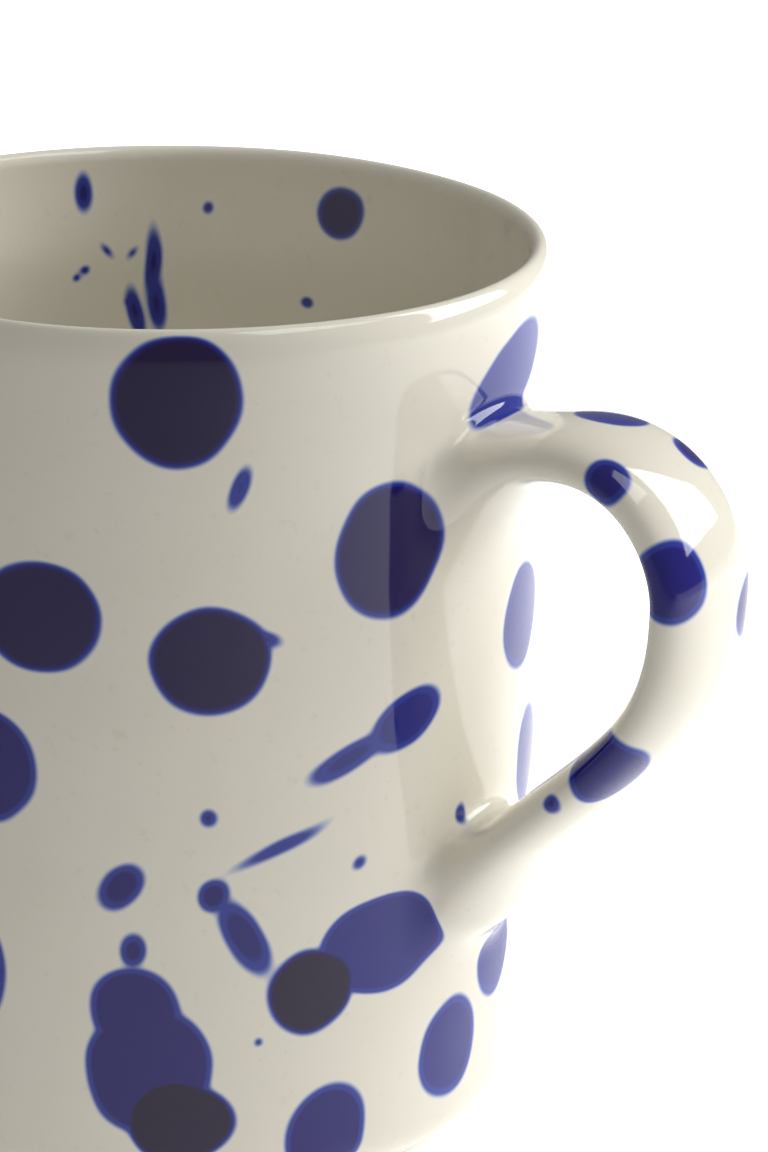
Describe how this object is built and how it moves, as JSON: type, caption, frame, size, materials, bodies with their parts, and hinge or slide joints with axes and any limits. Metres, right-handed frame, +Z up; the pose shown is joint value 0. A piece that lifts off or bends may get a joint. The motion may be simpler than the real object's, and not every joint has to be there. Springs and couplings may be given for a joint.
{
  "type": "stoneware mug",
  "caption": "Straight-sided stoneware mug with a rounded bottom edge and a strap handle, clay body with slip joints and glaze coats.",
  "frame": {"origin": "centre of the foot ring on the resting plane, on the cup's axis", "axes": "+Z up along the cup's axis, +X towards the handle"},
  "size_m": [0.1101, 0.082, 0.098],
  "materials": {
    "cup_clay": "bare fired stoneware, matt",
    "handle_clay": "bare fired stoneware, matt",
    "slip": "fired slip, matt",
    "liner_glaze": "glossy cream glaze with cobalt splashes",
    "wall_glaze": "glossy cream glaze with cobalt splashes",
    "handle_glaze": "glossy cream glaze with cobalt splashes"
  },
  "bodies": {
    "root": {"cup_clay": "cup_clay", "handle_clay": "handle_clay", "upper_slip": "slip", "lower_slip": "slip", "liner_glaze": "liner_glaze", "wall_glaze": "wall_glaze", "handle_glaze": "handle_glaze"}
  },
  "joints": []
}
